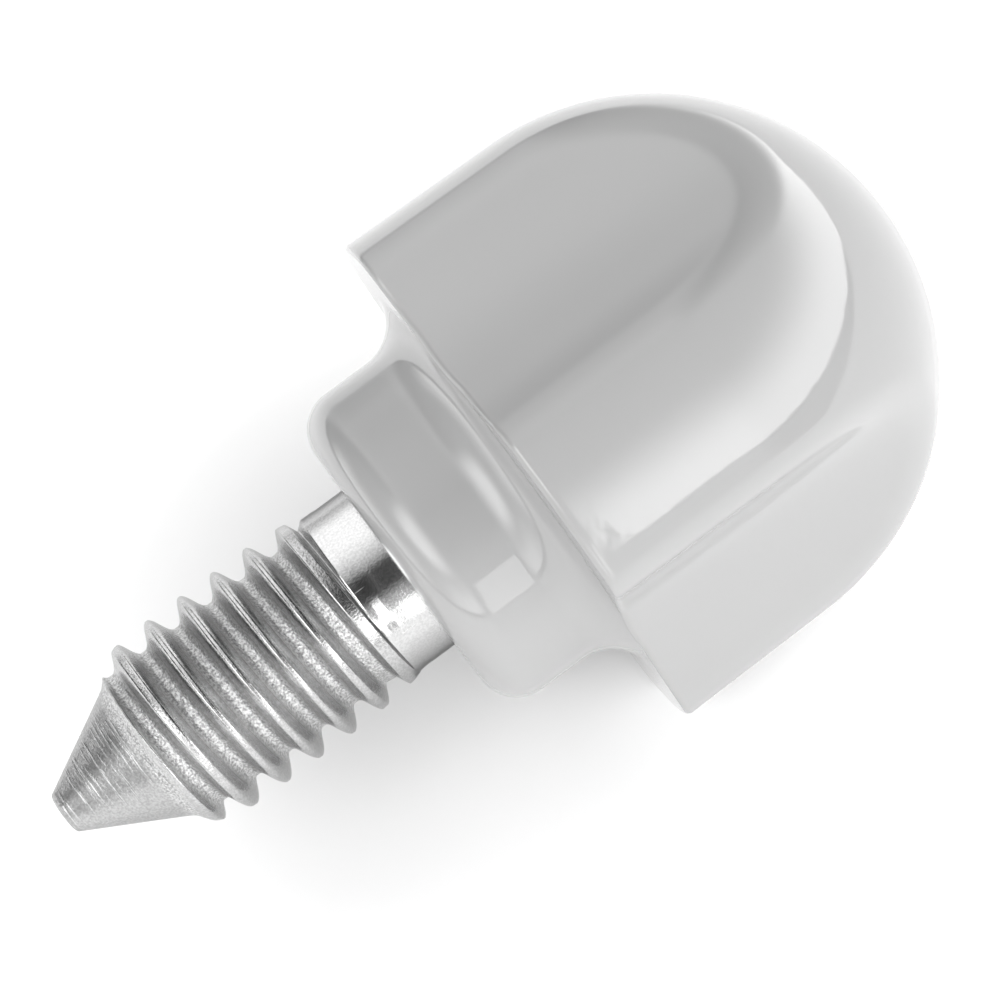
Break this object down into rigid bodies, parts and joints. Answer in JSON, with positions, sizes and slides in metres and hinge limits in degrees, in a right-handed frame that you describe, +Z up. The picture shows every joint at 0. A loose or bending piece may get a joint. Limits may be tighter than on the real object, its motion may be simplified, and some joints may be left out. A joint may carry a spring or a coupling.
{
  "type": "thumb screw",
  "caption": "Thumb screw: domed plastic grip with finger recesses and a neck collar, moulded on a pointed threaded steel stud.",
  "frame": {"origin": "centre of the small flat at the end of the point, on the screw's axis", "axes": "+X along the screw's axis from the point to the grip; +Z up, through the middle of one finger recess; the screw lies level, as it does in use"},
  "size_m": [0.0311, 0.016, 0.016],
  "materials": {
    "grip_plastic": "glossy light grey moulded thermoplastic",
    "zinc_plated_steel": "bright zinc-plated steel, rolled thread, fine turning marks on the point"
  },
  "bodies": {
    "root": {"knob_head": "grip_plastic", "threaded_stud": "zinc_plated_steel"}
  },
  "joints": []
}
